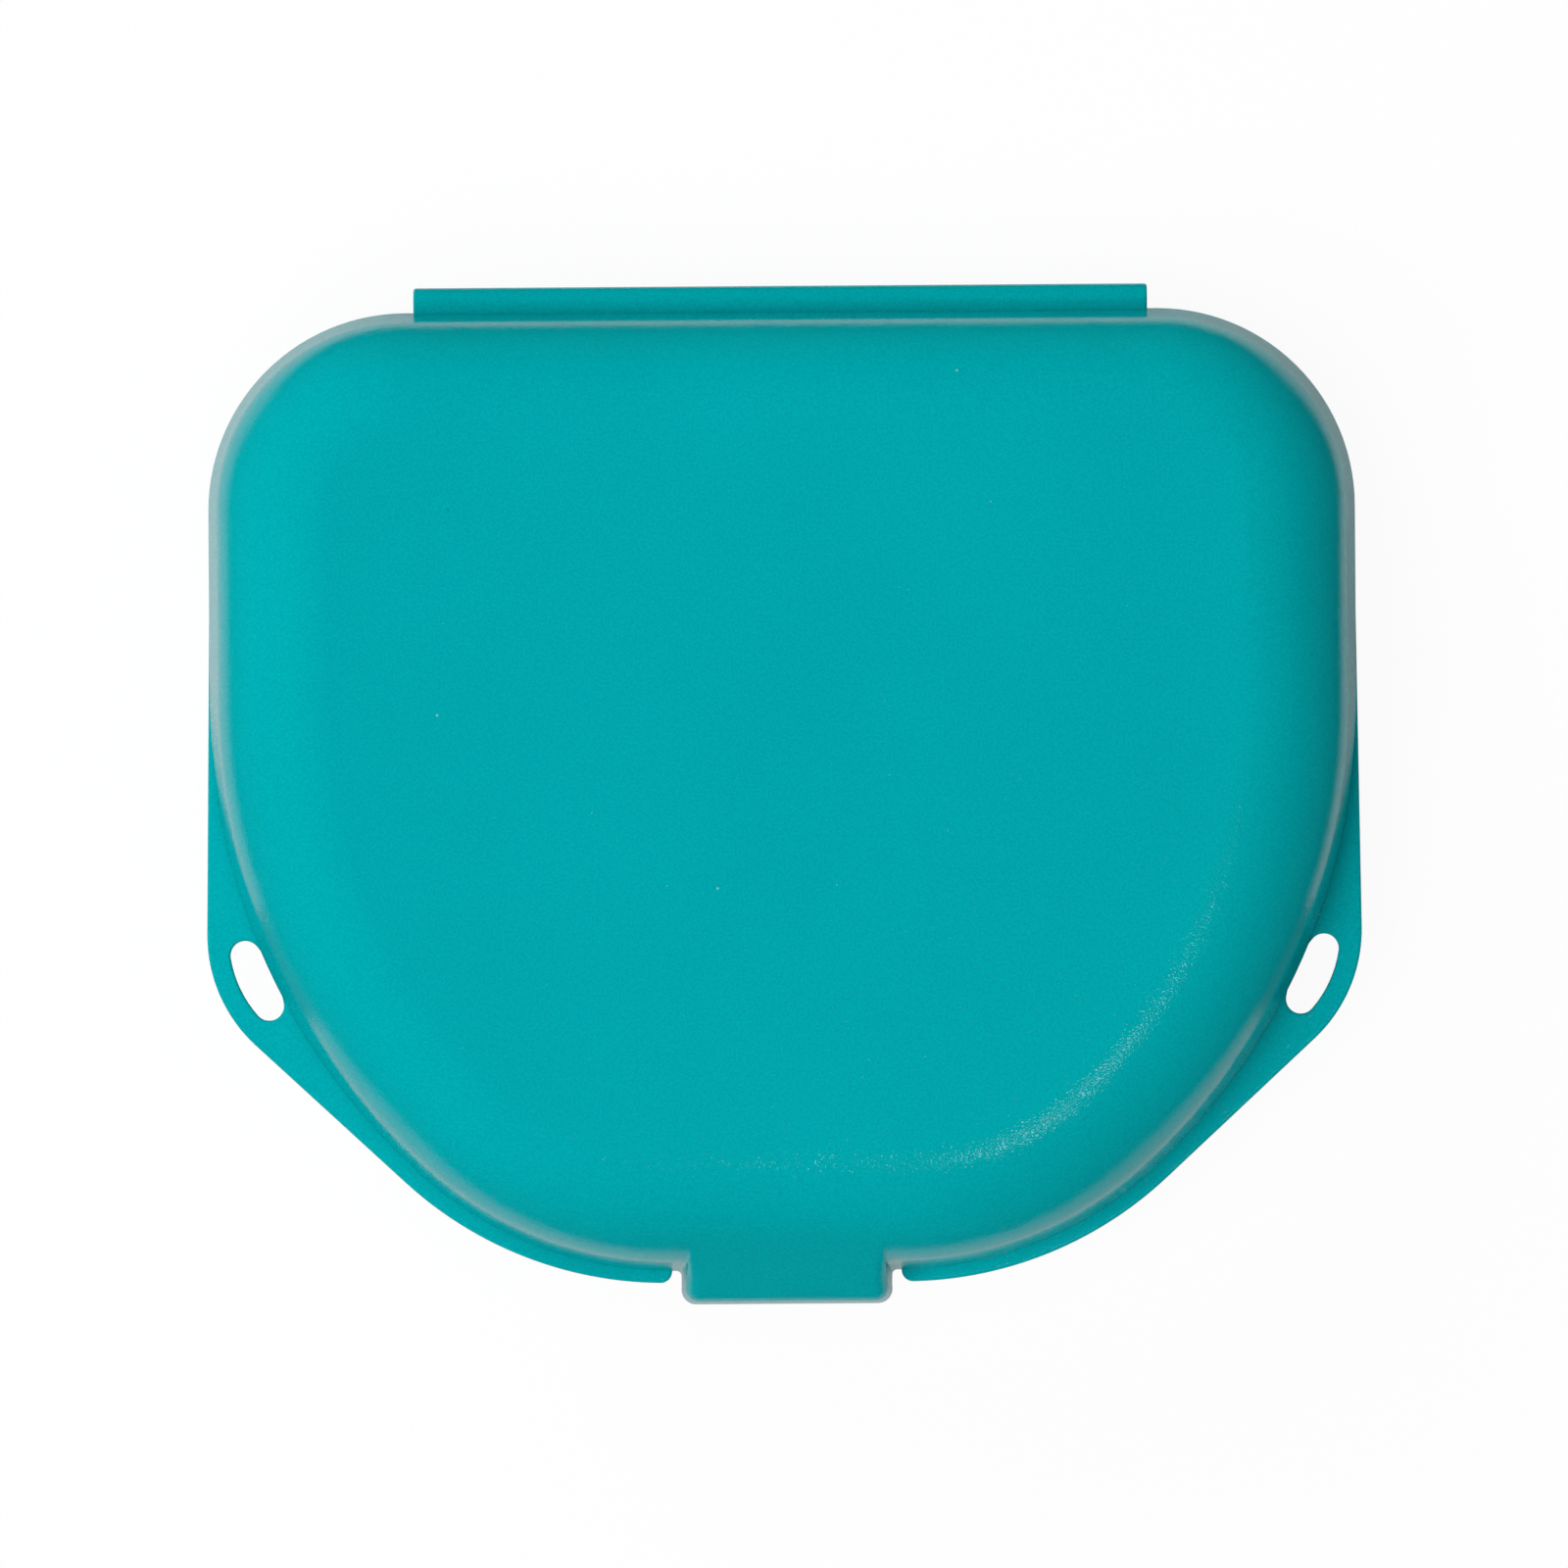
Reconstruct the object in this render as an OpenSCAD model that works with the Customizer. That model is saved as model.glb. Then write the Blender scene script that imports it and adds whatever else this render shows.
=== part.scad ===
// Hinged case for a dental retainer, moulded in one piece: a tray, a domed lid, a living hinge and a snap latch.
// Millimetres. Z = 0 is the surface the case stands on, +Y points to the hinge, and X = 0 is its plane of symmetry.

/* [Heights] */
// Height of the base, from its underside to the parting plane
base_h = 13.5; // [11:0.1:18]
// Height of the lid above the parting plane
lid_h = 12.4; // [10.5:0.1:13.5]
// Gap between the closed rims
rim_gap = 0.12; // [0.05:0.01:0.3]

/* [Lid outline] */
// Width of the lid at its rim
lid_w = 79.45; // [74:0.05:88]
// Reach of the lid's rim behind the middle of the case
lid_back = 33.55; // [31:0.05:37]
// Reach of the lid's rim in front of the middle of the case
lid_front = 32.93; // [30:0.01:35]
// Radius of the two back corners
back_r = 13.7; // [11:0.1:18]
// Distance behind the middle at which each side starts to bend inwards
bend_start = 6.4; // [4:0.1:8]
// Radius of the bend along each side
bend_r = 44; // [41:0.5:52]
// Radius of the two front corners
nose_r = 25.8; // [22:0.1:28]

/* [Lid shell] */
// Thickness of the lid's wall
lid_wall = 1.3; // [1:0.05:2]
// Radius of the rounding between the lid's wall and its flat top
dome_r = 7.8; // [5:0.1:8.5]
// Draft of the lid's wall, in degrees
lid_draft = 7; // [2:0.5:10]

/* [Base shell] */
// Thickness of the base's wall and floor
base_wall = 1.5; // [1:0.05:2]
// Distance of the base's wall inside the lid's rim, at the parting plane
base_setback = 1.1; // [0.9:0.05:1.5]
// Radius of the rounding between the base's wall and its underside
foot_r = 6; // [4:0.1:8]
// Draft of the base's wall, in degrees
base_draft = 5; // [2:0.5:8]
// Height of the lip that locates the lid
lip_h = 1.5; // [0.8:0.1:3]
// Clearance between the lip and the inside of the lid
lip_gap = 0.3; // [0.2:0.05:0.5]

/* [Flange and ears] */
// Thickness of the flange around the base and of the two hinge leaves
flange_t = 1.1; // [0.8:0.05:1.6]
// Distance of the flange inside the lid's rim along the back
flange_setback = 0.27; // [0.1:0.01:0.5]
// Distance by which the corner of each ear stands out beside the lid, before it is rounded
ear_proud = 0.33; // [0.1:0.01:4]
// Distance of the corner of each ear in front of the middle of the case
ear_y = 14; // [10:0.1:17]
// Radius of the corner of each ear
ear_r = 10.4; // [6:0.1:14]
// Distance between the front corners of the flange, before they are rounded
flange_nose_w = 37.5; // [34:0.1:42]
// Reach of the flange in front of the lid
flange_reach = 0.84; // [0.5:0.01:2]
// Radius of the front corners of the flange
flange_nose_r = 26.5; // [20:0.1:30]

/* [Lanyard slots] */
// Width of a slot in its middle
slot_w = 2.6; // [2:0.1:3]
// Length of a slot
slot_l = 5.9; // [5:0.1:7]
// Radius of a slot's two bowed sides
slot_side_r = 8; // [7:0.5:20]
// Place of a slot along the bend of the side, in degrees
slot_bearing = 25; // [20:0.5:28]
// Distance by which a slot reaches in under the lid's rim
slot_tuck = 0.25; // [0:0.05:0.4]

/* [Hinge] */
// Width of the hinge
hinge_w = 50.8; // [30:0.1:54]
// Reach of the folded hinge behind the lid's rim
hinge_reach = 1.7; // [1.5:0.05:3]
// Thickness of the web that folds
web_t = 0.4; // [0.3:0.05:0.6]

/* [Latch hood] */
// Width of the hood and of the latch tab below it, at the lid's rim
tab_w = 14.6; // [10:0.1:18]
// Reach of the hood and of the latch tab in front of the lid's rim
tab_reach = 2.32; // [2:0.01:3]
// Distance inside the lid's rim at which the hood's ramp leaves the dome
ramp_start = 2.3; // [1.8:0.1:3]
// Inner radius of the knee between the hood's ramp and its front
knee_r = 0.7; // [0.4:0.1:1]
// Draft of the hood's front and cheeks, in degrees
hood_draft = 4; // [1:0.5:6]
// Radius of the two front corners of the hood and of the tab, seen from above
tab_corner_r = 1; // [0.4:0.1:1.4]
// Radius of the fillet between the lid's wall and each cheek of the hood
cheek_r = 0.4; // [0.2:0.05:0.6]

/* [Latch tab] */
// Distance by which the tab hangs below the parting plane
tab_drop = 4.4; // [4.2:0.1:6]
// Chamfer of the tab's lower edges
tab_chamfer = 0.35; // [0.1:0.05:0.4]
// Width of the hook
hook_w = 11.6; // [6:0.1:12]
// Distance by which the hook reaches in under the rim
hook_bite = 0.4; // [0.3:0.05:0.5]
// Height of the flat on the hook's tip
hook_land = 0.5; // [0.3:0.1:0.7]
// Gap between the hook and the underside of the rim
hook_gap = 0.3; // [0.2:0.05:0.5]
// Gap between the tab and each end of the flange's notch
notch_gap = 0.65; // [0.4:0.05:1.2]
// Radius of the flange's ends beside the notch
notch_r = 0.8; // [0.3:0.1:1.5]

/* [Hidden] */

teal = [0, 0.64, 0.66];
// Facets of each rounded corner in plan, of each rounded edge in section, of each small rounding and of a circle
plan_steps = 12;
edge_steps = 10;
small_steps = 4;
circle_steps = 48;
// Depth to which joined forms sink into each other
sink = 0.6;
// Overlap that carries a cut past the face it opens
past = 1;

// Levels
rim_z = base_h + rim_gap;
top_z = rim_z + lid_h;
lip_z = base_h + lip_h;
step_z = base_h - flange_t / 2;

// Arcs of the lid's outline: nose and bend run into each other, then a straight side leads to the back corner
half_w = lid_w / 2;
meet_angle = asin((bend_start + lid_front - nose_r) / (bend_r - nose_r));
bend_c = [half_w - bend_r, bend_start];
nose_c = bend_c + (bend_r - nose_r) * unit(-meet_angle);
back_c = [half_w - back_r, lid_back - back_r];

// Section of the lid: distance inside the rim's edge and height of the centre of the dome's rounding
dome_z = top_z - dome_r;
dome_in = (dome_z + dome_r * sin(lid_draft) - rim_z) * tan(lid_draft) + dome_r * cos(lid_draft);

// Section of the base: the same for the rounding of its lower edge
foot_in = base_outer(foot_r * (1 - sin(base_draft))) + foot_r * cos(base_draft);

// Slots: radius of the ends, which run into the bowed sides
slot_end_r = (slot_w * (4 * slot_side_r - slot_w) - slot_l * slot_l) / (8 * slot_side_r - 4 * slot_l);

// Hinge: the web folds round a centre midway between the two leaves
web_r = flange_t + rim_gap / 2;
web_z = base_h + rim_gap / 2;
hinge_back = lid_back + hinge_reach;
leaf_end = hinge_back - web_r;

// Hood, as points [y, z] of its section: a ramp that leaves the dome as a tangent, a knee and a drafted front
tab_front = -lid_front - tab_reach;
ramp_angle = acos((dome_in - ramp_start) / dome_r);
dome_c = [-lid_front + dome_in, dome_z];
knee_c = meeting(
    [tab_front, rim_z] - (knee_r + lid_wall) * facing(hood_draft), hood_draft,
    dome_c + (dome_r - knee_r - lid_wall) * facing(ramp_angle), ramp_angle
);

// Latch tab, which flexes along the lower front edge of the hood
tab_inner = tab_front + lid_wall;
tab_bottom = base_h - tab_drop;
hook_z = base_h - flange_t - hook_gap;
hook_tip = -lid_front + hook_bite;
notch_half = tab_w / 2 + notch_gap;

function unit(angle) = [cos(angle), sin(angle)];

// Direction [y, z] in which a surface at the front of the lid faces, with its tilt above the horizontal
function facing(tilt) = [-cos(tilt), sin(tilt)];

// Point where two lines of a section meet, each given by a point and by the tilt of its facing
function meeting(p, p_tilt, q, q_tilt) =
    let (a = p * facing(p_tilt), b = q * facing(q_tilt))
    [b * sin(p_tilt) - a * sin(q_tilt), b * cos(p_tilt) - a * cos(q_tilt)] / sin(q_tilt - p_tilt);

// Numbers in rising order
function sorted(list) =
    len(list) < 2 ? list :
    let (pivot = list[0])
    concat(
        sorted([for (v = list) if (v < pivot) v]),
        [pivot],
        sorted([for (v = list) if (v > pivot) v])
    );
function reversed(list) = [for (i = [len(list) - 1:-1:0]) list[i]];
function heading(from, to) = atan2(to.y - from.y, to.x - from.x);

// Points of an arc, starting with the given step
function arc(centre, r, from, to, steps, first = 0) =
    [for (i = [first:steps]) centre + r * unit(from + (to - from) * i / steps)];

// Points of a rounded corner between two straight edges
function corner(before, vertex, after, r) =
    let (
        from = heading(before, vertex) - 90,
        to = heading(vertex, after) - 90,
        centre = vertex - r * (unit(from) + unit(to)) / (1 + cos(to - from))
    )
    arc(centre, r, from, to, plan_steps);

function mirrored(points) = [for (i = [len(points) - 1:-1:0]) [-points[i].x, points[i].y]];
function both_sides(points) = concat(points, mirrored(points));

// Outline of the lid's rim, drawn in by a distance
function outline(inset) = both_sides(concat(
    arc(nose_c, nose_r - inset, -90, -meet_angle, plan_steps),
    arc(bend_c, bend_r - inset, -meet_angle, 0, plan_steps, 1),
    arc(back_c, back_r - inset, 0, 90, plan_steps)
));

// Outline of the flange, with its two ears
function flange_outline() =
    let (
        front = [flange_nose_w / 2, -lid_front - flange_reach],
        ear = [half_w + ear_proud, -ear_y],
        back = [half_w - flange_setback, lid_back - flange_setback]
    )
    both_sides(concat(
        corner([-front.x, front.y], front, ear, flange_nose_r),
        corner(front, ear, back, ear_r),
        corner(ear, back, [-back.x, back.y], back_r)
    ));

// Outline of the slot in the right-hand ear: an oval of four arcs beside the bend of the lid's side
function slot_outline() =
    let (
        along = 90 - slot_bearing,
        centre = bend_c + (bend_r - slot_tuck + slot_w / 2) * unit(-slot_bearing),
        end = (slot_l / 2 - slot_end_r) * unit(along),
        side = (slot_side_r - slot_w / 2) * unit(along + 90),
        meet = atan2(slot_side_r - slot_w / 2, slot_l / 2 - slot_end_r)
    )
    concat(
        arc(centre + end, slot_end_r, along - meet, along + meet, plan_steps, 1),
        arc(centre - side, slot_side_r, along + meet, along + 180 - meet, small_steps, 1),
        arc(centre - end, slot_end_r, along + 180 - meet, along + 180 + meet, plan_steps, 1),
        arc(centre + side, slot_side_r, along + 180 + meet, along + 360 - meet, small_steps, 1)
    );

// Notch in the front of the flange, flared so that the flange's ends come out rounded
function notch_outline() =
    let (front = -lid_front - flange_reach)
    both_sides(concat(
        [[notch_half + notch_r, front - past]],
        arc([notch_half + notch_r, front + notch_r], notch_r, 270, 180, plan_steps),
        [[notch_half, -lid_front]]
    ));

// Distances of the walls inside the lid's rim, at a height
function base_outer(z) = base_setback + (base_h - z) * tan(base_draft);
function base_inner(z) = base_outer(z) + base_wall / cos(base_draft);
function lip_outer(z) = lid_inset(z, lid_wall) + lip_gap;

// Distance of a surface of the lid inside its rim, at a height and at a depth below the outer surface
function lid_inset(z, depth) =
    let (r = dome_r - depth)
    z < dome_z + r * sin(lid_draft)
        ? depth / cos(lid_draft) + (z - rim_z) * tan(lid_draft)
        : dome_in - sqrt(max(0, r * r - (z - dome_z) * (z - dome_z)));

// Place along Y of the front of the hood, at a height and at a depth: front, knee, ramp and then the dome itself
function hood_front(z, depth) =
    let (r = knee_r + lid_wall - depth, ramp = dome_c + (dome_r - depth) * facing(ramp_angle))
    z < knee_c.y + r * sin(hood_draft)
        ? tab_front + depth / cos(hood_draft) + (z - rim_z) * tan(hood_draft)
        : z < knee_c.y + r * sin(ramp_angle)
            ? knee_c.x - sqrt(r * r - (z - knee_c.y) * (z - knee_c.y))
            : z < ramp.y
                ? ramp.x + (z - ramp.y) * tan(ramp_angle)
                : -lid_front + lid_inset(z, depth);

// Heights at which the lid's surface at a depth bends, from the rim to the top
function lid_levels(depth) = sorted(concat(
    [rim_z],
    [for (p = arc(knee_c, knee_r + lid_wall - depth, hood_draft, ramp_angle, small_steps)) p.y],
    [for (p = arc(dome_c, dome_r - depth, lid_draft, 90, edge_steps)) p.y]
));

// Outline of the lid at a height and at a depth, with the hood in the middle of its front
function lid_ring(z, depth) =
    let (
        inset = lid_inset(z, depth),
        half = tab_w / 2 - (z - rim_z) * tan(hood_draft) - depth / cos(hood_draft),
        front = hood_front(z, depth),
        corner_r = depth > 0 ? cheek_r : tab_corner_r,
        nose = nose_r - inset,
        past_nose = max(0, half + cheek_r - nose_c.x),
        wall = nose_c.y - sqrt(nose * nose - past_nose * past_nose),
        flatten = min(1, (wall - front) / (corner_r + cheek_r)),
        hood_corner = arc([half - corner_r, corner_r], corner_r, -90, 0, small_steps),
        cheek_fillet = arc([half + cheek_r, -cheek_r], cheek_r, 180, 90, small_steps, 1)
    )
    both_sides(concat(
        [for (p = hood_corner) [p.x, front + flatten * p.y]],
        [for (p = cheek_fillet) [p.x, wall + flatten * p.y]],
        arc(nose_c, nose, asin(past_nose / nose) - 90, -meet_angle, plan_steps, 1),
        arc(bend_c, bend_r - inset, -meet_angle, 0, plan_steps, 1),
        arc(back_c, back_r - inset, 0, 90, plan_steps)
    ));

// Rounded edges in section, as pairs [distance inside the rim, height]
function edge(inset, z, r, from, to) =
    [for (p = arc([0, 0], r, from, to, edge_steps)) [inset - p.x, z + p.y]];

// Solid through rings of points [x, y], each at its height, with a flat fan round the Z axis at each end
module loft(rings, heights) {
    count = len(rings[0]);
    last = len(rings) - 1;
    lower = len(rings) * count;
    upper = lower + 1;
    points = concat(
        [for (k = [0:last]) for (p = rings[k]) [p.x, p.y, heights[k]]],
        [[0, 0, heights[0]], [0, 0, heights[last]]]
    );
    faces = [
        for (i = [0:count - 1])
            let (j = (i + 1) % count)
            each concat(
                [[lower, i, j]],
                [for (k = [0:last - 1]) each [
                    [k * count + i, (k + 1) * count + i, (k + 1) * count + j],
                    [k * count + i, (k + 1) * count + j, k * count + j]
                ]],
                [[upper, last * count + j, last * count + i]]
            )
    ];
    polyhedron(points, faces);
}

// Bar along X with a section given as points [y, z]
module bar(section, width) {
    rotate([90, 0, 90])
        linear_extrude(width, center = true)
            polygon(section);
}

module tray() {
    section = concat(
        edge(foot_in, foot_r, foot_r, -90, -base_draft),
        [
            [base_outer(step_z), step_z],
            [lip_outer(step_z), step_z],
            [lip_outer(lip_z), lip_z],
            [base_inner(lip_z), lip_z]
        ],
        edge(foot_in, foot_r, foot_r - base_wall, -base_draft, -90)
    );
    loft([for (s = section) outline(s[0])], [for (s = section) s[1]]);
}

module flange() {
    translate([0, 0, base_h - flange_t])
        linear_extrude(flange_t)
            difference() {
                union() {
                    polygon(flange_outline());
                    leaf_plan();
                }
                polygon(outline(lip_outer(base_h) + lip_gap));
                polygon(slot_outline());
                polygon(mirrored(slot_outline()));
                polygon(notch_outline());
            }
}

// Plan of a hinge leaf, rooted in the rim
module leaf_plan() {
    translate([-hinge_w / 2, lid_back - sink])
        square([hinge_w, leaf_end - lid_back + sink]);
}

// Plan of the latch tab
module tab_plan() {
    polygon(both_sides(concat(
        arc([tab_w / 2 - tab_corner_r, tab_front + tab_corner_r], tab_corner_r, -90, 0, small_steps),
        [[tab_w / 2, 0]]
    )));
}

module base_tray() {
    color(teal)
        union() {
            tray();
            flange();
        }
}

// Shell of the lid: its inner surface from the top down to the rim, then its outer surface back up
module dome() {
    inner = reversed(lid_levels(lid_wall));
    outer = lid_levels(0);
    loft(
        concat([for (z = inner) lid_ring(z, lid_wall)], [for (z = outer) lid_ring(z, 0)]),
        concat(inner, outer)
    );
}

module lid_shell() {
    color(teal)
        union() {
            dome();
            translate([0, 0, rim_z])
                linear_extrude(flange_t)
                    leaf_plan();
        }
}

module living_hinge() {
    color(teal)
        translate([0, leaf_end, web_z])
            rotate([90, 0, 90])
                linear_extrude(hinge_w, center = true)
                    difference() {
                        circle(web_r, $fn = circle_steps);
                        circle(web_r - web_t, $fn = circle_steps);
                        translate([-2 * web_r, -web_r])
                            square(2 * web_r);
                    }
}

module latch_tab() {
    hook_foot = hook_z - hook_land - (hook_tip - tab_inner);
    tongue = [
        [tab_front, rim_z],
        [tab_front, tab_bottom + tab_chamfer],
        [tab_front + tab_chamfer, tab_bottom],
        [tab_inner - tab_chamfer, tab_bottom],
        [tab_inner, tab_bottom + tab_chamfer],
        [tab_inner, rim_z]
    ];
    hook = [
        [tab_inner - sink, hook_foot],
        [tab_inner, hook_foot],
        [hook_tip, hook_z - hook_land],
        [hook_tip, hook_z],
        [tab_inner - sink, hook_z]
    ];
    color(teal)
        union() {
            intersection() {
                bar(tongue, tab_w);
                translate([0, 0, tab_bottom])
                    linear_extrude(top_z)
                        tab_plan();
            }
            bar(hook, hook_w);
        }
}

base_tray();
lid_shell();
living_hinge();
latch_tab();
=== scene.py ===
import math

import bmesh
import bpy
import numpy as np
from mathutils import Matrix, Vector


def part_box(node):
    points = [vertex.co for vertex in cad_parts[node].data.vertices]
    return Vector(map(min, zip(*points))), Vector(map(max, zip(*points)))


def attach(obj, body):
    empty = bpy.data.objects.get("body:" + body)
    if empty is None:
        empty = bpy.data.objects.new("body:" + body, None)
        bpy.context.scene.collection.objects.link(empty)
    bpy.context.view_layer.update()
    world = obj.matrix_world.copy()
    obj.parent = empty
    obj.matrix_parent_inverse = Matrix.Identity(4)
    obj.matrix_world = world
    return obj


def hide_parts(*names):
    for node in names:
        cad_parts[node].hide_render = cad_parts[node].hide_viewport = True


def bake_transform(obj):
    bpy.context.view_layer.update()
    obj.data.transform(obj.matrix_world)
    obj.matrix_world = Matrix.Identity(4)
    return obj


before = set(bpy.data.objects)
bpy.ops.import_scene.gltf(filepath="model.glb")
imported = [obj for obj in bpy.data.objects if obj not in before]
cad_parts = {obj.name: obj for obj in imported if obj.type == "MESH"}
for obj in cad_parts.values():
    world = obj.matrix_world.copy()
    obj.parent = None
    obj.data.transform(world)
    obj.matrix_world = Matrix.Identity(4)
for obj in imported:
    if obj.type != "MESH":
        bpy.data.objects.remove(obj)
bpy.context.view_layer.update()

MM = 0.001


def box_mm(node):
    """Lowest and highest corner of a CAD node, in millimetres."""
    low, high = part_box(node)
    return np.array(low) / MM, np.array(high) / MM


# Sizes taken from the frame, in millimetres
lid_low, lid_high = box_mm("lid_shell")
_, base_high = box_mm("base_tray")
web_low, web_high = box_mm("living_hinge")
tab_low, tab_high = box_mm("latch_tab")
half_w = lid_high[0]
rim_z = lid_low[2]
top_z = lid_high[2]
lip_z = base_high[2]
tab_front = tab_low[1]
tab_bottom = tab_low[2]
tab_half = tab_high[0]
hook_tip = tab_high[1]
hinge_half = web_high[0]
leaf_end = web_low[1]
web_r = (web_high[2] - web_low[2]) / 2
web_z = (web_high[2] + web_low[2]) / 2

# Sizes of the moulding, the same as in the CAD source, in millimetres and degrees
base_h = 13.5
lid_back = 33.55
lid_front = 32.93
back_r = 13.7
bend_start = 6.4
bend_r = 44
nose_r = 25.8
lid_wall = 1.3
dome_r = 7.8
lid_draft = 7
base_wall = 1.5
base_setback = 1.1
foot_r = 6
base_draft = 5
lip_gap = 0.3
flange_t = 1.1
flange_setback = 0.27
ear_proud = 0.33
ear_y = 14
ear_r = 10.4
flange_nose_w = 37.5
flange_reach = 0.84
flange_nose_r = 26.5
slot_w = 2.6
slot_l = 5.9
slot_side_r = 8
slot_bearing = 25
slot_tuck = 0.25
web_t = 0.4
ramp_start = 2.3
knee_r = 0.7
hood_draft = 4
tab_corner_r = 1
cheek_r = 0.4
hook_half = 5.8
hook_land = 0.5
hook_gap = 0.3
notch_gap = 0.65
notch_r = 0.8

# Roundings of the moulding's edges, which the CAD solids leave sharp, in millimetres
rim_r = 0.16
flange_edge_r = 0.22
lip_r = 0.3
tab_edge_r = 0.35
hook_r = 0.12
leaf_edge_r = 0.2

# How often a rounding fits at least into the thickness of the lip and of the web
lip_roundings = 2.2
web_roundings = 3

# Allowances in millimetres: web let into the leaves, its ends drawn in there, flat rim of a cap
embed = 0.4
tuck = 0.02
support = 0.06

# Steps of the curves, and the angle in degrees from which an edge is shaded sharp
PLAN_STEPS = 28
SIDE_STEPS = 8
EDGE_STEPS = 24
KNEE_STEPS = 10
SMALL_STEPS = 8
FINE_STEPS = 5
SHARP_ANGLE = 32


# Points of outlines, with all angles in degrees

def tan(angle):
    return math.tan(math.radians(angle))


def sin(angle):
    return math.sin(math.radians(angle))


def cos(angle):
    return math.cos(math.radians(angle))


def unit(angle):
    return np.array([cos(angle), sin(angle)])


def arc(centre, r, start, stop, steps):
    """Points of an arc, both ends included."""
    return np.array([np.asarray(centre) + r * unit(a) for a in np.linspace(start, stop, steps + 1)])


def between(a, b, steps):
    """Points that divide a straight run, its ends left out."""
    return np.linspace(a, b, steps + 1)[1:-1]


def both_sides(points):
    """A right half, drawn from the front to the back, and its mirror image."""
    return np.concatenate([points, points[::-1] * (-1, 1)])


def heading(step):
    """Direction of a step, in degrees."""
    return math.degrees(math.atan2(step[1], step[0]))


def rounding(before, vertex, after, r):
    """Centre and end directions of the arc that rounds the corner between two straight edges."""
    start = heading(vertex - before) - 90
    stop = heading(after - vertex) - 90
    centre = vertex - r * (unit(start) + unit(stop)) / (1 + cos(stop - start))
    return centre, start, stop


def rounded_corner(before, vertex, after, r):
    """Points of a rounded corner between two straight edges."""
    centre, start, stop = rounding(before, vertex, after, r)
    return arc(centre, r, start, stop, PLAN_STEPS)


def drawn_in(loop, distance):
    """A closed loop moved towards its left by a distance, with mitred corners."""
    edges = np.roll(loop, -1, 0) - loop
    normals = np.stack([-edges[:, 1], edges[:, 0]], 1) / np.linalg.norm(edges, axis=1)[:, None]
    before = np.roll(normals, 1, 0)
    mitre = (normals + before) / (1 + (normals * before).sum(1))[:, None]
    return loop + distance * mitre


# The lid's outline: a nose and a bend that run into each other, then a straight side and a back corner
meet_angle = math.degrees(math.asin((bend_start + lid_front - nose_r) / (bend_r - nose_r)))
bend_c = np.array([half_w - bend_r, bend_start])
nose_c = bend_c + (bend_r - nose_r) * unit(-meet_angle)
back_c = np.array([half_w - back_r, lid_back - back_r])


def flank(inset):
    """Right-hand side of the lid's outline, from the nose's straight front to the middle of the back."""
    bend = arc(bend_c, bend_r - inset, -meet_angle, 0, PLAN_STEPS)
    corner = arc(back_c, back_r - inset, 0, 90, PLAN_STEPS)
    return np.concatenate([
        arc(nose_c, nose_r - inset, -90, -meet_angle, PLAN_STEPS)[1:],
        bend[1:],
        between(bend[-1], corner[0], SIDE_STEPS),
        corner,
        between(corner[-1], (0, corner[-1][1]), SIDE_STEPS),
    ])


def outline(inset):
    """The lid's outline without its hood, drawn in by a distance."""
    front = inset - lid_front
    return both_sides(np.concatenate([between((0, front), (nose_c[0], front), SIDE_STEPS), flank(inset)]))


# The lid's section: dome, wall and hood
dome_z = top_z - dome_r
dome_in = (dome_z + dome_r * sin(lid_draft) - rim_z) * tan(lid_draft) + dome_r * cos(lid_draft)
dome_c = np.array([dome_in - lid_front, dome_z])
ramp_angle = math.degrees(math.acos((dome_in - ramp_start) / dome_r))


def facing(tilt):
    """Direction (y, z) in which a surface at the front of the lid faces."""
    return np.array([-cos(tilt), sin(tilt)])


def knee_centre():
    """Centre of the hood's knee, as far behind the ramp as behind the front."""
    r = knee_r + lid_wall
    on_front = np.array([tab_front, rim_z]) - r * facing(hood_draft)
    on_ramp = dome_c + (dome_r - r) * facing(ramp_angle)
    sides = np.array([facing(hood_draft), facing(ramp_angle)])
    return np.linalg.solve(sides, [on_front @ sides[0], on_ramp @ sides[1]])


knee_c = knee_centre()


def lid_inset(z, depth):
    """Distance inside the rim of the lid's surface at a height and at a depth below the outer surface."""
    r = dome_r - depth
    if z < dome_z + r * sin(lid_draft):
        return depth / cos(lid_draft) + (z - rim_z) * tan(lid_draft)
    return dome_in - math.sqrt(max(0, r * r - (z - dome_z) ** 2))


def hood_front(z, depth):
    """Place along Y of the hood's front, knee and ramp, and above them of the dome itself."""
    r = knee_r + lid_wall - depth
    ramp = dome_c + (dome_r - depth) * facing(ramp_angle)
    if z < knee_c[1] + r * sin(hood_draft):
        return tab_front + depth / cos(hood_draft) + (z - rim_z) * tan(hood_draft)
    if z < knee_c[1] + r * sin(ramp_angle):
        return knee_c[0] - math.sqrt(r * r - (z - knee_c[1]) ** 2)
    if z < ramp[1]:
        return ramp[0] + (z - ramp[1]) * tan(ramp_angle)
    return lid_inset(z, depth) - lid_front


def lid_ring(z, depth, corner_r):
    """The lid's outline at a height and a depth, with the hood in the middle of its front."""
    inset = lid_inset(z, depth)
    half = tab_half - (z - rim_z) * tan(hood_draft) - depth / cos(hood_draft)
    front = hood_front(z, depth)
    wall = inset - lid_front
    flatten = min(1, max(0, (wall - front) / (corner_r + cheek_r)))
    corner = arc((half - corner_r, corner_r), corner_r, -90, 0, SMALL_STEPS)
    fillet = arc((half + cheek_r, -cheek_r), cheek_r, 180, 90, SMALL_STEPS)[1:]
    return both_sides(np.concatenate([
        between((0, front), (half - corner_r, front), SIDE_STEPS),
        corner * (1, flatten) + (0, front),
        fillet * (1, flatten) + (0, wall),
        flank(inset),
    ]))


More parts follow.
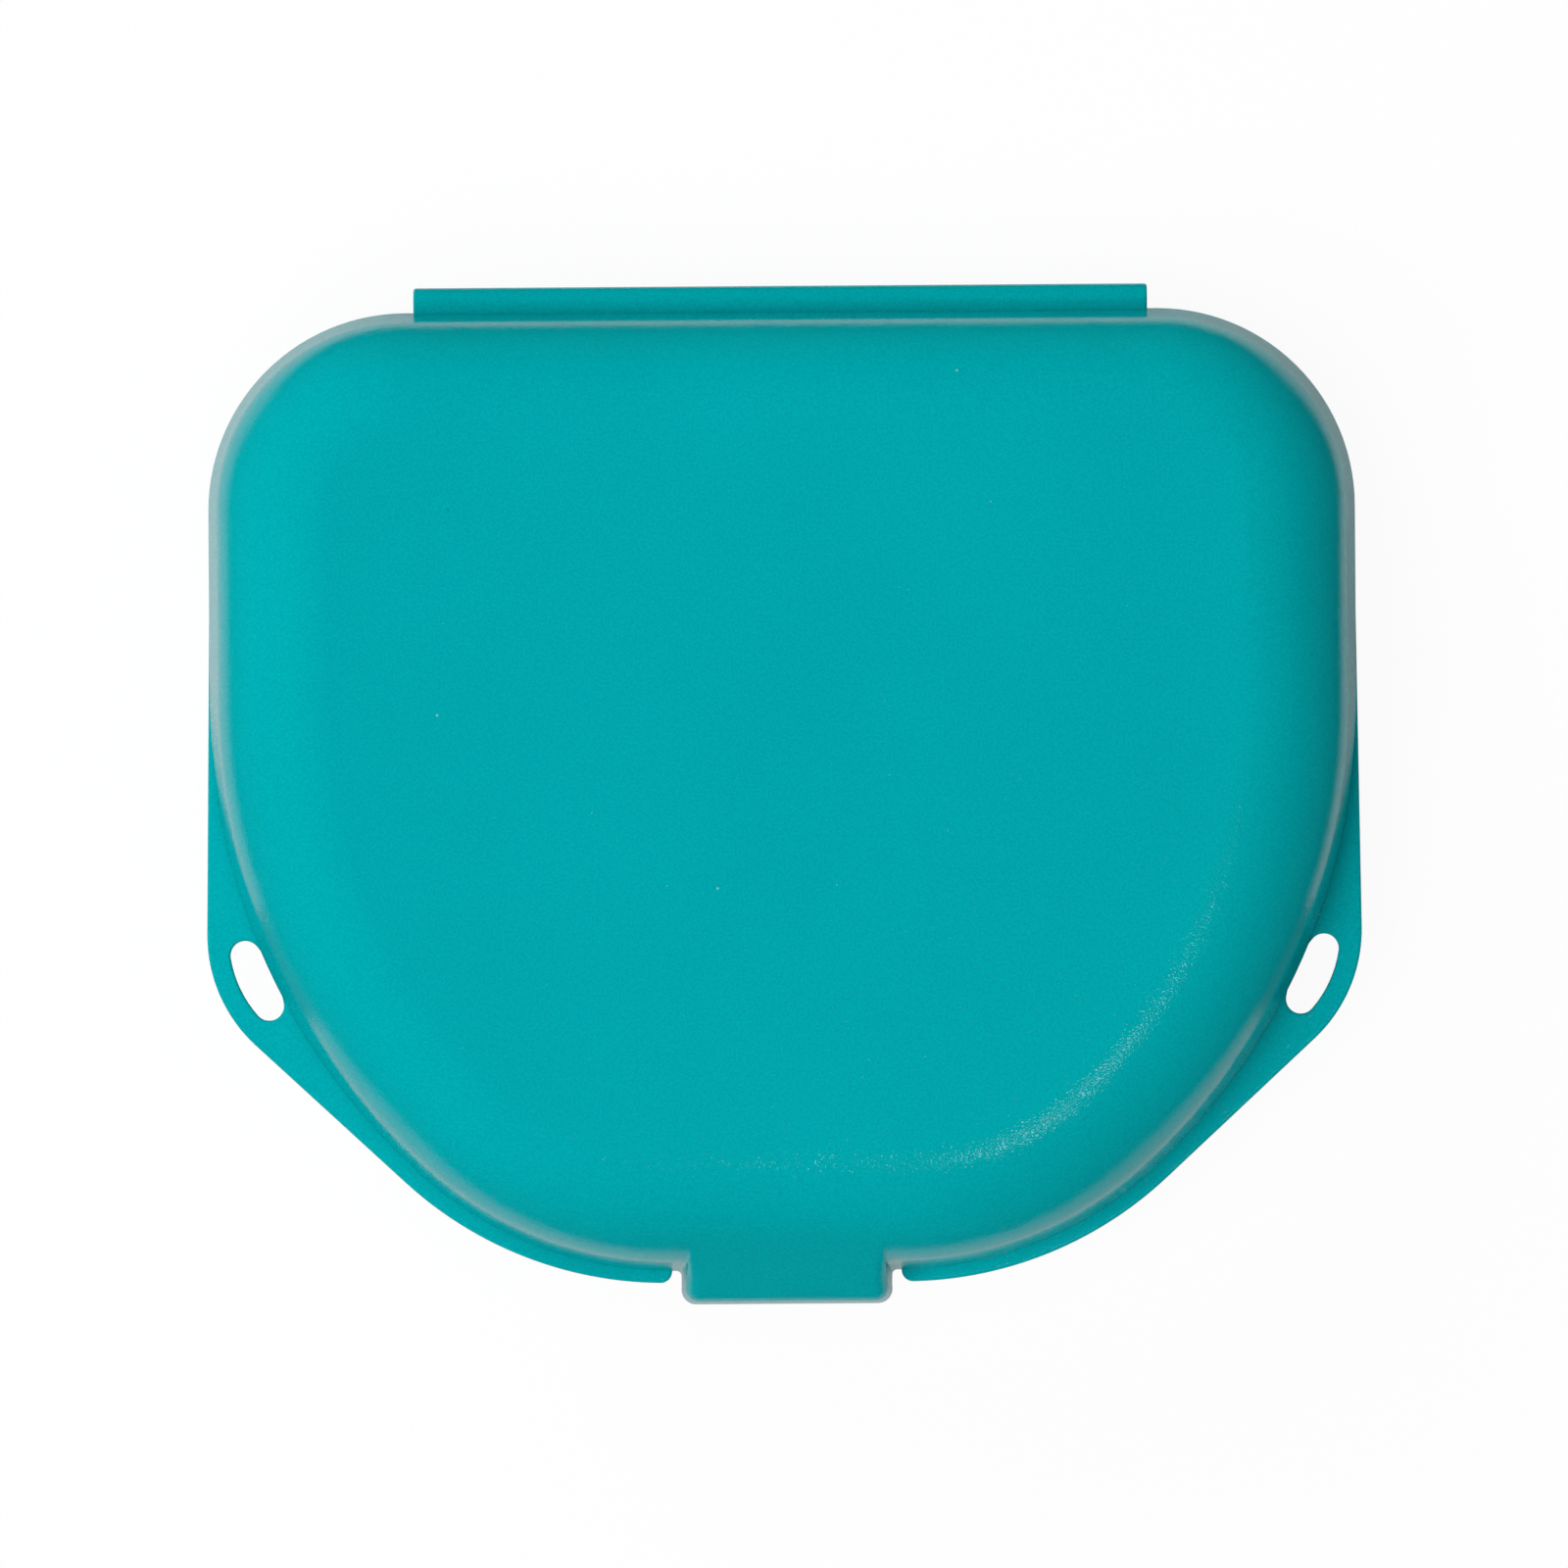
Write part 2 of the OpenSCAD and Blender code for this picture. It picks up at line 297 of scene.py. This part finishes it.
# Points of the hood in each half of a ring
HOOD_POINTS = SIDE_STEPS + 2 * SMALL_STEPS


def lid_levels(depth):
    """Heights of the lid's rings above its rounded rim, at a depth."""
    knee = arc(knee_c, knee_r + lid_wall - depth, hood_draft, ramp_angle, KNEE_STEPS)[:, 1]
    dome = arc(dome_c, dome_r - depth, lid_draft, 90, EDGE_STEPS)[:, 1]
    wall = np.linspace(rim_z + rim_r, dome[0], SIDE_STEPS)
    return np.unique(np.concatenate([wall, knee, dome]).round(6))


# Meshes

def at_height(ring, z):
    """A ring of the plan lifted to one height, or to a height for each point."""
    return np.column_stack([ring, np.broadcast_to(z, len(ring))])


def eased(ring):
    """A ring a little inside the edge of a flat cap, which keeps the cap's shading flat."""
    return at_height(drawn_in(ring[:, :2], support), ring[:, 2])


def loft(rings):
    """Closed shell through rings of points, with a flat cap at each end."""
    count = len(rings[0])
    faces = [list(range(count))[::-1]]
    for k in range(len(rings) - 1):
        for i in range(count):
            j = (i + 1) % count
            faces.append([k * count + i, k * count + j, (k + 1) * count + j, (k + 1) * count + i])
    faces.append([(len(rings) - 1) * count + i for i in range(count)])
    return np.concatenate(rings), faces


def bar(section_at, stations):
    """Closed shell along X through sections of points (y, z), one for each station."""
    rings = []
    for x in stations:
        section = section_at(x)
        rings.append(np.column_stack([np.full(len(section), x), section]))
    return loft(rings)


def plate(outer, holes, z_low, z_high, edge_r):
    """Flat plate with holes, all its edges rounded. Loops run with the material on their left."""
    turn = np.linspace(0, 90, FINE_STEPS + 1)
    profile = [(edge_r + support, z_low)]
    profile += [(edge_r * (1 - sin(a)), z_low + edge_r * (1 - cos(a))) for a in turn]
    profile += [(edge_r * (1 - cos(a)), z_high - edge_r * (1 - sin(a))) for a in turn]
    profile.append((edge_r + support, z_high))
    made = bmesh.new()
    ends = ([], [])
    for loop in [outer, *holes]:
        rings = [[made.verts.new((*p, z)) for p in drawn_in(loop, d)] for d, z in profile]
        count = len(loop)
        for low, high in zip(rings, rings[1:]):
            for i in range(count):
                j = (i + 1) % count
                made.faces.new([low[i], low[j], high[j], high[i]])
        for end, ring in zip(ends, (rings[0], rings[-1])):
            end.extend(made.edges.get((ring[i], ring[(i + 1) % count])) for i in range(count))
    for end, up in zip(ends, (-1, 1)):
        bmesh.ops.triangle_fill(made, use_beauty=True, use_dissolve=False, edges=end, normal=(0, 0, up))
    bmesh.ops.recalc_face_normals(made, faces=made.faces)
    made.verts.index_update()
    points = np.array([v.co for v in made.verts])
    faces = [[v.index for v in f.verts] for f in made.faces]
    made.free()
    return points, faces


def piece(name, shells):
    """An object in metres made of closed shells in millimetres, fused where they meet."""
    objects = []
    for points, faces in shells:
        mesh = bpy.data.meshes.new(name)
        mesh.from_pydata((np.asarray(points) * MM).tolist(), [], faces)
        made = bmesh.new()
        made.from_mesh(mesh)
        bmesh.ops.recalc_face_normals(made, faces=made.faces)
        made.to_mesh(mesh)
        made.free()
        objects.append(bpy.data.objects.new(name, mesh))
        bpy.context.scene.collection.objects.link(objects[-1])
    whole, others = objects[0], objects[1:]
    for other in others:
        union = whole.modifiers.new("union", "BOOLEAN")
        union.operation = "UNION"
        union.solver = "MANIFOLD"
        union.object = other
    if others:
        ready = whole.evaluated_get(bpy.context.evaluated_depsgraph_get())
        whole.data = bpy.data.meshes.new_from_object(ready)
        whole.modifiers.clear()
    for other in others:
        bpy.data.objects.remove(other)
    whole.data.polygons.foreach_set("use_smooth", [True] * len(whole.data.polygons))
    whole.data.set_sharp_from_angle(angle=math.radians(SHARP_ANGLE))
    whole.data.materials.clear()
    return whole


def rounded_ends(half, r):
    """Stations along X from one end to the other, with the distance by which the section shrinks at each."""
    turn = np.linspace(0, 90, FINE_STEPS + 1)
    end = [(half - r * (1 - sin(a)), r * (1 - cos(a))) for a in turn]
    return [(-x, e) for x, e in reversed(end)] + end


# Pieces

def lid_shell():
    """Inner surface from the top down, the rounded rim, then the outer surface up to the flat top."""
    inner = [at_height(lid_ring(z, lid_wall, cheek_r), z) for z in lid_levels(lid_wall)[::-1]]
    outer = [at_height(lid_ring(z, 0, tab_corner_r), z) for z in lid_levels(0)]
    on_hood = np.zeros(len(inner[0]))
    on_hood[:HOOD_POINTS] = 1
    on_hood[-HOOD_POINTS:] = 1
    turn = np.linspace(0, 90, FINE_STEPS + 1)[1:]
    edge = [(lid_wall - rim_r * (1 - cos(a)), rim_r * (1 - sin(a)), cheek_r) for a in turn]
    edge += [(rim_r * (1 - cos(a)), rim_r * (1 - sin(a)), tab_corner_r) for a in turn[::-1]]
    rim = []
    for depth, rise, corner_r in edge:
        ring = lid_ring(rim_z + rise, depth, corner_r)
        rim.append(at_height(ring, rim_z + rise * (1 - on_hood)))
    return loft([eased(inner[0])] + inner + rim + outer + [eased(outer[-1])])


def hinge_leaf(z_low, z_high):
    """A hinge leaf, from inside the rim to where the web starts."""
    ends = rounded_ends(hinge_half, leaf_edge_r)
    shrink = dict(ends)

    def section(x):
        low, high = z_low + shrink[x], z_high - shrink[x]
        root = lid_back - lid_wall / 2
        return np.array([(root, low), (leaf_end, low), (leaf_end, high), (root, high)])

    return bar(section, [x for x, _ in ends])


def tray():
    """Outer surface from the underside up, the lip, then the inner surface down to the floor."""
    def outer(z):
        return base_setback + (base_h - z) * tan(base_draft)

    def lip(z):
        return lid_inset(z, lid_wall) + lip_gap

    foot_in = outer(foot_r * (1 - sin(base_draft))) + foot_r * cos(base_draft)
    wall = base_wall / cos(base_draft)
    step_z = base_h - flange_t / 2
    floor_r = foot_r - base_wall
    turn = np.linspace(0, 90, FINE_STEPS + 1)
    foot = arc((0, 0), foot_r, -90, -base_draft, EDGE_STEPS)
    floor_edge = arc((0, 0), floor_r, -base_draft, -90, EDGE_STEPS)
    section = [(foot_in + support, 0)]
    section += [(foot_in - p, foot_r + q) for p, q in foot]
    section += [(outer(step_z), step_z), (lip(step_z), step_z)]
    lip_out, lip_in = lip(lip_z), outer(lip_z) + wall
    edge = min(lip_r, (lip_in - lip_out) / lip_roundings)
    section += [(lip_out + edge * (1 - cos(a)), lip_z - edge * (1 - sin(a))) for a in turn]
    section += [(lip_in - edge * (1 - sin(a)), lip_z - edge * (1 - cos(a))) for a in turn]
    section += [(foot_in - p, foot_r + q) for p, q in floor_edge]
    section.append((foot_in + support, base_wall))
    return loft([at_height(outline(inset), z) for inset, z in section])


def flange():
    """Flange with the two ears, their slots and the notch for the latch."""
    nose = np.array([flange_nose_w / 2, -lid_front - flange_reach])
    ear = np.array([half_w + ear_proud, -ear_y])
    back = np.array([half_w - flange_setback, lid_back - flange_setback])
    nose_centre, _, nose_stop = rounding(nose * (-1, 1), nose, ear, flange_nose_r)
    ear_arc = rounded_corner(nose, ear, back, ear_r)
    back_arc = rounded_corner(ear, back, back * (-1, 1), back_r)

    notch = tab_half + notch_gap
    run = notch + notch_r - nose_centre[0]
    to_end = np.array([run, -math.sqrt((flange_nose_r - notch_r) ** 2 - run ** 2)])
    end = arc(nose_centre + to_end, notch_r, 180, 360 + heading(to_end), SMALL_STEPS)
    nose_arc = arc(nose_centre, flange_nose_r, heading(to_end), nose_stop, PLAN_STEPS)

    outer = both_sides(np.concatenate([
        between((0, -lid_front), (notch, -lid_front), SIDE_STEPS),
        [(notch, -lid_front)],
        end,
        nose_arc[1:],
        between(nose_arc[-1], ear_arc[0], SIDE_STEPS),
        ear_arc,
        between(ear_arc[-1], back_arc[0], SIDE_STEPS),
        back_arc,
        between(back_arc[-1], (0, back_arc[-1][1]), SIDE_STEPS),
    ]))
    opening = outline(lid_inset(base_h, lid_wall) + 2 * lip_gap)[::-1]
    slot = slot_loop()[::-1]
    return plate(outer, [opening, slot, (slot * (-1, 1))[::-1]], base_h - flange_t, base_h, flange_edge_r)


def slot_loop():
    """Oval slot in the right-hand ear, beside the bend of the lid's side."""
    along = 90 - slot_bearing
    centre = bend_c + (bend_r - slot_tuck + slot_w / 2) * unit(-slot_bearing)
    half_l, sag = slot_l / 2, slot_side_r - slot_w / 2
    end_r = (slot_side_r ** 2 - sag ** 2 - half_l ** 2) / (2 * (slot_side_r - half_l))
    end, side = (half_l - end_r) * unit(along), sag * unit(along + 90)
    meet = heading((half_l - end_r, sag))
    return np.concatenate([
        arc(centre + end, end_r, along - meet, along + meet, PLAN_STEPS // 2)[1:],
        arc(centre - side, slot_side_r, along + meet, along + 180 - meet, SMALL_STEPS)[1:],
        arc(centre - end, end_r, along + 180 - meet, along + 180 + meet, PLAN_STEPS // 2)[1:],
        arc(centre + side, slot_side_r, along + 180 + meet, along + 360 - meet, SMALL_STEPS)[1:],
    ])


def hinge_web():
    """The web of the hinge, bent round from one leaf to the other and let into both."""
    ends = rounded_ends(hinge_half, leaf_edge_r)
    middle = between(ends[FINE_STEPS][0], ends[FINE_STEPS + 1][0], PLAN_STEPS)
    shrink = dict(ends)

    def section(x):
        e = min(shrink.get(x, 0), web_t / web_roundings)
        outside, inside = web_r - e, web_r - web_t + e
        centre = np.array([leaf_end, web_z])
        reach = np.array([-embed, 0])
        outer = arc(centre, outside, -90, 90, EDGE_STEPS)
        inner = arc(centre, inside, 90, -90, EDGE_STEPS)
        return np.concatenate([
            [outer[0] + reach + (0, tuck)],
            outer,
            [outer[-1] + reach - (0, tuck), inner[0] + reach],
            inner,
            [inner[-1] + reach],
        ])

    stations = [x for x, _ in ends[:FINE_STEPS + 1]] + list(middle) + [x for x, _ in ends[FINE_STEPS + 1:]]
    return bar(section, stations)


def latch_tongue():
    """The tab that hangs from the hood's front wall, with a rounded lower end."""
    back = tab_front + lid_wall / cos(hood_draft)
    corner = arc((tab_half - tab_corner_r, tab_front + tab_corner_r), tab_corner_r, -90, 0, SMALL_STEPS)
    rear = arc((tab_half - rim_r, back - rim_r), rim_r, 0, 90, FINE_STEPS)
    plan = both_sides(np.concatenate([
        between((0, tab_front), corner[0], SIDE_STEPS),
        corner,
        rear,
        between(rear[-1], (0, back), SIDE_STEPS),
    ]))
    turn = np.linspace(0, 90, FINE_STEPS + 1)
    rings = [at_height(drawn_in(plan, tab_edge_r + support), tab_bottom)]
    for a in turn:
        inset, rise = tab_edge_r * (1 - sin(a)), tab_edge_r * (1 - cos(a))
        rings.append(at_height(drawn_in(plan, inset), tab_bottom + rise))
    for z in np.linspace(tab_bottom + tab_edge_r, rim_z, 2 * SIDE_STEPS)[1:]:
        rings.append(at_height(plan, z))
    return loft(rings)


def latch_hook():
    """The hook along the inside of the tab."""
    inner = tab_front + lid_wall
    hook_z = base_h - flange_t - hook_gap
    foot = hook_z - hook_land - (hook_tip - inner)
    root = inner - lid_wall / 2
    profile = np.array([
        (root, foot), (inner, foot), (hook_tip, hook_z - hook_land), (hook_tip, hook_z), (root, hook_z)
    ])
    ends = rounded_ends(hook_half, hook_r)
    shrink = dict(ends)
    return bar(lambda x: drawn_in(profile, shrink[x]), [x for x, _ in ends])


# Materials

def linked(nodes, links, kind, inputs=(), **settings):
    """A new node with its settings, values and links."""
    made = nodes.new(kind)
    for name, value in settings.items():
        setattr(made, name, value)
    for name, value in dict(inputs).items():
        if isinstance(value, bpy.types.NodeSocket):
            links.new(value, made.inputs[name])
        else:
            made.inputs[name].default_value = value
    return made


def maths(nodes, links, operation, a, b):
    """Result of a Math node."""
    return linked(nodes, links, "ShaderNodeMath", {0: a, 1: b}, operation=operation).outputs["Value"]


# Colours in linear light, pattern scales for each metre, the grain's depth in metres, ranges as pairs
TEAL_DEEP = (0.0, 0.343, 0.374, 1)
TEAL_LIGHT = (0.0, 0.417, 0.452, 1)
PALE_SPECK = (0.3, 0.66, 0.64, 1)
DARK_SPECK = (0.0, 0.12, 0.13, 1)
FLOOR_WHITE = (0.9, 0.9, 0.9, 1)
NOISE_SPAN = (0.3, 0.7)
FLOW_SCALE = 60.0
FLOW_DETAIL = 3.0
FLOW_TONES = (0.4, 0.6)
GRAIN_SCALE = 6500.0
GRAIN_DETAIL = 0.0
GRAIN_TONES = (-0.35, 0.35)
GRAIN_DEPTH = 0.00002
GRAIN_ROUGHNESS = (0.06, 0.1)
SPECK_EDGE = (0.02, 0.045)
PALE_SPECKS = {"scale": 420.0, "share": 0.1, "strength": 0.7}
DARK_SPECKS = {"scale": 390.0, "share": 0.06, "strength": 0.6}
PLASTIC_IOR = 1.39


def teal_polypropylene():
    """Satin moulded plastic: spark-eroded grain, faint flow marks and a few specks."""
    material = bpy.data.materials.new("teal_polypropylene")
    material.use_nodes = True
    nodes, links = material.node_tree.nodes, material.node_tree.links
    shader = nodes["Principled BSDF"]
    place = nodes.new("ShaderNodeTexCoord").outputs["Object"]

    def noise(scale, detail):
        made = linked(nodes, links, "ShaderNodeTexNoise", {"Vector": place, "Scale": scale, "Detail": detail})
        return made.outputs["Fac"]

    def ranged(value, span, to):
        made = linked(nodes, links, "ShaderNodeMapRange", {
            "Value": value, "From Min": span[0], "From Max": span[1], "To Min": to[0], "To Max": to[1]})
        return made.outputs["Result"]

    def mixed(amount, a, b):
        return linked(nodes, links, "ShaderNodeMix", {0: amount, 6: a, 7: b}, data_type="RGBA").outputs[2]

    def specks(scale, share, strength):
        """Small round spots in a share of the cells of a Voronoi pattern."""
        cells = linked(nodes, links, "ShaderNodeTexVoronoi", {"Vector": place, "Scale": scale})
        draw = linked(nodes, links, "ShaderNodeSeparateColor", {"Color": cells.outputs["Color"]})
        dot = ranged(cells.outputs["Distance"], SPECK_EDGE, (strength, 0))
        picked = maths(nodes, links, "LESS_THAN", draw.outputs["Red"], share)
        return maths(nodes, links, "MULTIPLY", dot, picked)

    flow = ranged(noise(FLOW_SCALE, FLOW_DETAIL), NOISE_SPAN, FLOW_TONES)
    grain = noise(GRAIN_SCALE, GRAIN_DETAIL)
    fine = ranged(grain, NOISE_SPAN, GRAIN_TONES)
    colour = mixed(maths(nodes, links, "ADD", flow, fine), TEAL_DEEP, TEAL_LIGHT)
    colour = mixed(specks(**PALE_SPECKS), colour, PALE_SPECK)
    colour = mixed(specks(**DARK_SPECKS), colour, DARK_SPECK)
    bump = linked(nodes, links, "ShaderNodeBump", {"Strength": 1.0, "Distance": GRAIN_DEPTH, "Height": grain})
    links.new(colour, shader.inputs["Base Color"])
    links.new(ranged(grain, NOISE_SPAN, GRAIN_ROUGHNESS), shader.inputs["Roughness"])
    links.new(bump.outputs["Normal"], shader.inputs["Normal"])
    shader.inputs["IOR"].default_value = PLASTIC_IOR
    return material


def matt(name, colour):
    """A plain matt material."""
    material = bpy.data.materials.new(name)
    material.use_nodes = True
    nodes, links = material.node_tree.nodes, material.node_tree.links
    nodes.clear()
    diffuse = linked(nodes, links, "ShaderNodeBsdfDiffuse", {"Color": colour})
    out = nodes.new("ShaderNodeOutputMaterial")
    links.new(diffuse.outputs["BSDF"], out.inputs["Surface"])
    return material


def floor_white(seen):
    """Matt white, most of which shows as plain white wherever the floor is seen, straight or in gloss."""
    material = matt("floor_white", FLOOR_WHITE)
    nodes, links = material.node_tree.nodes, material.node_tree.links
    path = nodes.new("ShaderNodeLightPath")
    rays = path.outputs["Is Camera Ray"]
    for kind in ("Is Glossy Ray", "Is Transmission Ray"):
        rays = maths(nodes, links, "MAXIMUM", rays, path.outputs[kind])
    share = maths(nodes, links, "MULTIPLY", rays, seen)
    white = linked(nodes, links, "ShaderNodeEmission", {"Color": (1, 1, 1, 1), "Strength": 1.0})
    mix = linked(nodes, links, "ShaderNodeMixShader", {
        0: share, 1: nodes["Diffuse BSDF"].outputs[0], 2: white.outputs[0]})
    links.new(mix.outputs[0], nodes["Material Output"].inputs["Surface"])
    return material


# The object
plastic = teal_polypropylene()

base = piece("base", [tray(), flange(), hinge_leaf(base_h - flange_t, base_h)])
lid = piece("lid", [lid_shell(), hinge_leaf(rim_z, rim_z + flange_t)])
web = piece("hinge_web", [hinge_web()])
tab = piece("latch_tab_tongue", [latch_tongue(), latch_hook()])

for made in (base, lid, web, tab):
    made.data.materials.append(plastic)

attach(base, "base")
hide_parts("base_tray")
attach(lid, "lid")
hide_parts("lid_shell")
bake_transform(web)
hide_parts("living_hinge")
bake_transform(tab)
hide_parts("latch_tab")

# Floor, cards and light: places in millimetres, spread in degrees, the horizon in sines of elevation
FLOOR_REACH = 6000
FLOOR_Z = -0.02
FLOOR_SEEN = 0.94
FLAG_LOW = (-67, -62, 0)
FLAG_HIGH = (58, 50, 40)
FLOOR_CARD_Z = 0.25
CARD_REACH = (-2, 9, 64)
CARD_SPREAD = 5.5
CARD_Z = 0.5
# Colours of the cards seen only in gloss: painted dark reflections round the case, a painted dimmer
# reflection of the floor, and painted shade of the floor under the ears
BLACK = (0.01, 0.01, 0.01, 1)
# Colour of the far ear card, which paints the floor's shade under the ear in the lid's gloss
PAINTED_SHADE_GREY = (0.1, 0.1, 0.1, 1)
FLOOR_REFLECTION_GREY = (0.62, 0.62, 0.62, 1)
HORIZON = (0.04, 0.16)
WORLD_DIM = 0.015


def staged(name, points, faces, material):
    """A piece of the studio, in millimetres, which isn't part of the object."""
    mesh = bpy.data.meshes.new(name)
    mesh.from_pydata((np.array(points) * MM).tolist(), [], faces)
    mesh.materials.append(material)
    made = bpy.data.objects.new(name, mesh)
    bpy.context.scene.collection.objects.link(made)
    return made


def floor():
    """A level floor a hair below the case."""
    corners = [(-1, -1), (1, -1), (1, 1), (-1, 1)]
    points = [(x * FLOOR_REACH, y * FLOOR_REACH, FLOOR_Z) for x, y in corners]
    staged("floor", points, [(0, 1, 2, 3)], floor_white(FLOOR_SEEN))


def gloss_only(name, points, faces, colour):
    """Cards which show only in the gloss of the case: painted reflections, which give no light and cast no
    shadow.
    """
    made = staged(name, points, faces, matt(name, colour))
    made.visible_camera = False
    made.visible_diffuse = False
    made.visible_transmission = False
    made.visible_shadow = False


def flags():
    """Black cards round the case and a grey one on the floor between them, seen only in gloss: painted dark
    reflections round the case and a painted dimmer reflection of the floor.
    """
    (x0, y0, z0), (x1, y1, z1) = FLAG_LOW, FLAG_HIGH
    plan = [(x0, y0), (x1, y0), (x1, y1), (x0, y1)]
    points = [(x, y, z) for z in (z0, z1) for x, y in plan]
    # Black walls seen only in gloss: painted dark reflections round the case
    gloss_only("flags", points, [(i, (i + 1) % 4, (i + 1) % 4 + 4, i + 4) for i in range(4)], BLACK)
    # A grey plate seen only in gloss: a painted dimmer reflection of the floor
    gloss_only("floor_reflection_card", [(x, y, FLOOR_CARD_Z) for x, y in plan], [(0, 1, 2, 3)], FLOOR_REFLECTION_GREY)


def ear_cards():
    """On the floor, a card of the plastic's colour under each ear and a dark one beyond it, seen only in
    gloss: the first paints a reflection of the flange on the lid's lower wall, the dark one paints the
    floor's shade under the ear.
    """
    # The teal card is a painted reflection of the flange, the dark grey one is painted shade
    colours = (TEAL_DEEP, PAINTED_SHADE_GREY)
    for name, near, far, colour in zip(("card_painted_reflection", "card_painted_shade"), CARD_REACH, CARD_REACH[1:], colours):
        points = []
        for side in (-1, 1):
            for reach, turn in ((near, -1), (far, -1), (far, 1), (near, 1)):
                x, y = bend_c + (bend_r + reach) * unit(turn * CARD_SPREAD - slot_bearing)
                points.append((side * x, y, CARD_Z))
        gloss_only(name, points, [(0, 1, 2, 3), (4, 5, 6, 7)], colour)


def studio_world():
    """White at the horizon and dim above it."""
    world = bpy.data.worlds.new("studio")
    bpy.context.scene.world = world
    world.use_nodes = True
    nodes, links = world.node_tree.nodes, world.node_tree.links
    place = nodes.new("ShaderNodeTexCoord")
    height = linked(nodes, links, "ShaderNodeSeparateXYZ", {"Vector": place.outputs["Generated"]})
    fall = linked(nodes, links, "ShaderNodeMapRange", {
        "Value": height.outputs["Z"], "From Min": HORIZON[0], "From Max": HORIZON[1],
        "To Min": 1.0, "To Max": WORLD_DIM})
    nodes["Background"].inputs["Color"].default_value = (1, 1, 1, 1)
    links.new(fall.outputs["Result"], nodes["Background"].inputs["Strength"])


def softbox(name, place, size, power, in_gloss=False):
    """Square area lamp in metres and watts that looks at the middle of the case."""
    lamp = bpy.data.lights.new(name, "AREA")
    lamp.shape = "SQUARE"
    lamp.size = size
    lamp.energy = power
    made = bpy.data.objects.new(name, lamp)
    made.location = place
    made.rotation_euler = (Vector((0, 0, top_z * MM)) - Vector(place)).to_track_quat("-Z", "Y").to_euler()
    made.visible_camera = False
    made.visible_glossy = in_gloss
    lamp.cycles.use_multiple_importance_sampling = in_gloss
    bpy.context.scene.collection.objects.link(made)


floor()
flags()
ear_cards()
studio_world()
softbox("overhead", (0, 0, 1.2), 0.5, 2.8)
softbox("front_left", (-0.336, -0.235, 1.128), 0.7, 10.0)
softbox("back_left", (-0.735, 0.735, 0.6), 0.8, 5.3)
softbox("front_right", (0.205, -0.282, 1.043), 0.12, 0.34, in_gloss=True)

# Camera: pixel size, lens and sensor in millimetres, roll in degrees, far clip in metres
PIXELS = 1600
PIXEL_MM = 0.06788
CENTRE_PX = (799.5, 811.0)
ROLL = 0.4
LENS = 600
SENSOR = 36
FAR_CLIP = 100

# It looks straight down, turned a little, with the hinge towards the top of the picture
camera_data = bpy.data.cameras.new("camera")
camera_data.lens = LENS
camera_data.sensor_width = SENSOR
camera = bpy.data.objects.new("camera", camera_data)
away = PIXELS * PIXEL_MM * LENS / SENSOR
aim = ((PIXELS / 2 - CENTRE_PX[0]) * PIXEL_MM, (CENTRE_PX[1] - PIXELS / 2) * PIXEL_MM)
camera.location = (aim[0] * MM, aim[1] * MM, (rim_z + away) * MM)
camera.rotation_euler = (0, 0, -math.radians(ROLL))
camera_data.clip_end = FAR_CLIP
bpy.context.scene.collection.objects.link(camera)
bpy.context.scene.camera = camera
bpy.context.scene.view_settings.view_transform = "Standard"
